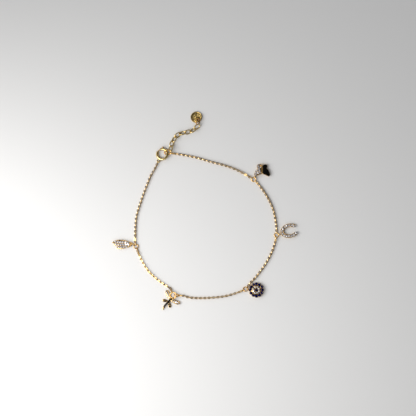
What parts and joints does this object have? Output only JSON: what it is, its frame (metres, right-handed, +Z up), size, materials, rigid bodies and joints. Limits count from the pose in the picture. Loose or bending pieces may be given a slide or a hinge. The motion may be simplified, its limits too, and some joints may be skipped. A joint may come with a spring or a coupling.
{
  "type": "charm bracelet",
  "caption": "Fine gold chain bracelet lying open in a loop, with flat stone-set and enamelled charms, a sprung ring clasp and an extender chain with a round tag.",
  "frame": {"origin": "middle of the whole bracelet's footprint, on the surface that it lies on", "axes": "+Z up from the surface; +Y towards the clasp and tag, along the longest extent; +X towards the butterfly and horseshoe charms"},
  "size_m": [0.0734, 0.0798, 0.0024],
  "materials": {
    "chain_gold": "polished",
    "ring_gold": "polished",
    "pave_gold": "stone-set",
    "black_enamel": "glossy",
    "navy_stone": "faceted"
  },
  "bodies": {
    "bracelet": {"junction_ring": "ring_gold", "tag_ring": "ring_gold", "butterfly_ring": "ring_gold", "horseshoe_ring": "ring_gold", "eye_ring": "ring_gold", "dragonfly_ring": "ring_gold", "dragonfly_link_ring": "ring_gold", "wing_ring": "ring_gold", "clasp_housing": "chain_gold", "extender_link_1": "chain_gold", "extender_link_2": "chain_gold", "extender_link_3": "chain_gold", "extender_link_4": "chain_gold", "extender_link_5": "chain_gold", "extender_link_6": "chain_gold", "extender_link_7": "chain_gold", "extender_link_8": "chain_gold", "tag_disc": "ring_gold", "chain_1": "chain_gold", "chain_2": "chain_gold", "chain_3": "chain_gold", "chain_4": "chain_gold", "chain_5": "chain_gold", "chain_6": "chain_gold", "butterfly_setting": "pave_gold", "butterfly_enamel": "black_enamel", "horseshoe_setting": "pave_gold", "eye_setting": "pave_gold", "eye_stone_1": "navy_stone", "eye_stone_2": "navy_stone", "eye_stone_3": "navy_stone", "eye_stone_4": "navy_stone", "eye_stone_5": "navy_stone", "eye_stone_6": "navy_stone", "eye_stone_7": "navy_stone", "eye_stone_8": "navy_stone", "eye_stone_9": "navy_stone", "eye_stone_10": "navy_stone", "eye_stone_11": "navy_stone", "eye_stone_12": "navy_stone", "eye_stone_center": "navy_stone", "dragonfly_setting": "pave_gold", "dragonfly_body_enamel": "black_enamel", "dragonfly_wing_enamel_right": "black_enamel", "dragonfly_wing_enamel_left": "black_enamel", "wing_setting": "pave_gold"},
    "gate": {"clasp_gate": "ring_gold"}
  },
  "joints": [
    {"name": "clasp_gate_hinge", "type": "hinge", "parent": "bracelet", "child": "gate", "pos_m": [-0.01732, 0.02238, 0.0007], "axis": [0.1211, 0, -0.9926], "range_deg": [0, 44], "stiffness_Nm_per_rad": 0.0002}
  ]
}
